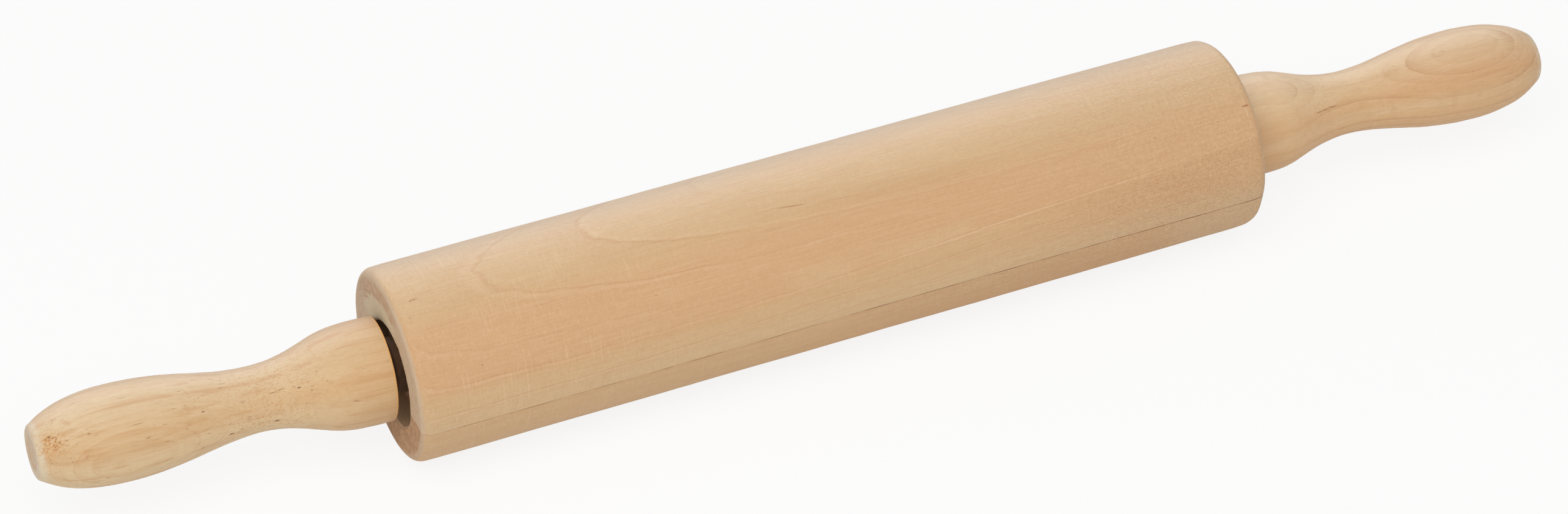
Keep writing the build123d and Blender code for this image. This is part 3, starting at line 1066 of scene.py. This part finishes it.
def turned_metal(name, tone, roughness, per_mm):
    """Steel with fine turning marks round it."""
    steel = Paint(name, AXIS_MIDDLE_MM, FRAME_AXES)
    marks = steel.grain(*per_mm)
    smear = steel.grain(0.1, 0.2, 0.2, detail=3, shift=(3, 1, 2))
    steel.colour = steel.mix(smear.ramp(0.4, 0.7) * 0.35, tone, STEEL_SMEAR)
    steel.shader.inputs["Metallic"].default_value = 1
    return steel.finish(marks * 0.2 + smear * 0.1 + roughness, marks, SMOOTH_RELIEF_MM)


def moulded_nylon():
    """Moulded nylon, faintly mottled, kept dark brown as painted shade in the gaps beside the handles."""
    nylon = Paint("bush_nylon_dark_as_shade", AXIS_MIDDLE_MM, FRAME_AXES)
    cloud = nylon.grain(0.2, 0.2, 0.2, detail=3)
    grain = nylon.grain(2, 2, 2, shift=(1, 2, 3))
    nylon.colour = nylon.mix(cloud.ramp(0.35, 0.7), NYLON_LIGHT, NYLON_DARK)
    return nylon.finish(grain * 0.1 + 0.42, grain, SMOOTH_RELIEF_MM)


def dress(piece, node, body, material):
    """A new piece takes a node's place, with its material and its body."""
    piece.data.materials.append(material)
    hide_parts(node)
    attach(piece, body)


dress(make_barrel(), "barrel", "barrel", barrel_wood())
for handle in SIDES:
    node = f"{handle}_handle"
    dress(make_handle(handle), node, "axle_and_handles", handle_wood(handle))

axle_steel = turned_metal("axle_steel_drawn", AXLE_TONE, 0.22, (0.3, 6, 6))
washer_steel = turned_metal("washer_steel_stamped", WASHER_TONE, 0.28, (0.5, 4, 4))
bush_nylon = moulded_nylon()
KEPT_NODES = {
    "axle": axle_steel,
    "left_washer": washer_steel,
    "right_washer": washer_steel,
    "left_bush": bush_nylon,
    "right_bush": bush_nylon,
}
for node, material in KEPT_NODES.items():
    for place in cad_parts[node].material_slots:
        place.material = material


# Camera, floor and light

camera_data = bpy.data.cameras.new("camera")
camera_data.sensor_fit = "HORIZONTAL"
camera_data.sensor_width = SENSOR_WIDTH_MM
camera_data.lens = FOCAL_LENGTH_PX * SENSOR_WIDTH_MM / PHOTO_WIDTH_PX
camera = add_object("camera", camera_data)
look_at = Vector((LOOK_AT_ALONG, 0, AXIS_HEIGHT_MM * MM - LOOK_AT_BELOW_AXIS))
level = Vector((math.sin(CAMERA_AZIMUTH), -math.cos(CAMERA_AZIMUTH), 0))
back = level * math.cos(CAMERA_ELEVATION) + Vector((0, 0, math.sin(CAMERA_ELEVATION)))
camera.location = look_at + back * CAMERA_DISTANCE
camera.rotation_euler = back.to_track_quat("Z", "Y").to_euler()
bpy.context.scene.camera = camera

FLOOR_SIZE = 12
FLOOR_GLOW = 0.86
FLOOR_MIRROR_GLOW = 0.25
FLOOR_TONE = (0.9, 0.9, 0.9, 1)
WHITE = (1, 1, 1, 1)
SKY_TONE = (1, 0.985, 0.965, 1)
SKY_STRENGTH = 0.45


def background_share(tree, seen, reflected):
    """How much of a surface is plain background, as seen directly and as reflected, but not in its light."""
    rays = add_node(tree, "LightPath", {}).outputs
    kinds = ("Camera", "Glossy", "Transmission")
    direct, glossy, through = [Value(tree, rays[f"Is {kind} Ray"]) for kind in kinds]
    return layered((direct * seen, glossy * reflected, through * reflected))


def mixed_output(tree, kind, share, first, second):
    """An output of that kind gets the first shader, turned by that share into the second."""
    mixer = add_node(tree, "MixShader", {0: share, 1: first.outputs[0], 2: second.outputs[0]})
    add_node(tree, kind, {0: mixer.outputs[0]})


def make_floor():
    """A pale matt floor that the camera sees as nearly white, with the object's soft shadow kept."""
    half = FLOOR_SIZE / 2
    corners = [(-half, -half, 0), (half, -half, 0), (half, half, 0), (-half, half, 0)]
    mesh = bpy.data.meshes.new("floor")
    mesh.from_pydata(corners, [], [(0, 1, 2, 3)])
    floor = add_object("floor", mesh)
    material = bpy.data.materials.new("floor_pale")
    tree = empty_tree(material)
    glow = add_node(tree, "Emission", {"Color": WHITE, "Strength": 1})
    matt = add_node(tree, "BsdfDiffuse", {"Color": FLOOR_TONE})
    mixed_output(tree, "OutputMaterial", background_share(tree, FLOOR_GLOW, FLOOR_MIRROR_GLOW), matt, glow)
    mesh.materials.append(material)


def make_world():
    """A soft pale room, plain white to the camera and in reflections."""
    world = bpy.data.worlds.new("studio")
    bpy.context.scene.world = world
    tree = empty_tree(world)
    sky = add_node(tree, "Background", {"Color": SKY_TONE, "Strength": SKY_STRENGTH})
    plain = add_node(tree, "Background", {"Color": WHITE, "Strength": 1})
    mixed_output(tree, "OutputWorld", background_share(tree, 1, 1), sky, plain)


def make_lamp(name, place, size, watts, only_gloss=False):
    """A large soft panel aimed at the object."""
    data = bpy.data.lights.new(name, "AREA")
    data.shape = "RECTANGLE"
    data.size, data.size_y = size
    data.energy = watts
    lamp = add_object(name, data)
    lamp.location = place
    lamp.rotation_euler = Vector(place).to_track_quat("Z", "Y").to_euler()
    lamp.visible_camera = False
    lamp.visible_diffuse = not only_gloss
    lamp.visible_glossy = only_gloss


make_floor()
make_world()
make_lamp("front_panel", place=(-0.5, -0.85, 1.48), size=(1.8, 1.4), watts=20.3)
make_lamp("back_panel", place=(0.1, 1.3, 1), size=(3, 2), watts=56, only_gloss=True)
bpy.context.scene.view_settings.view_transform = "Standard"
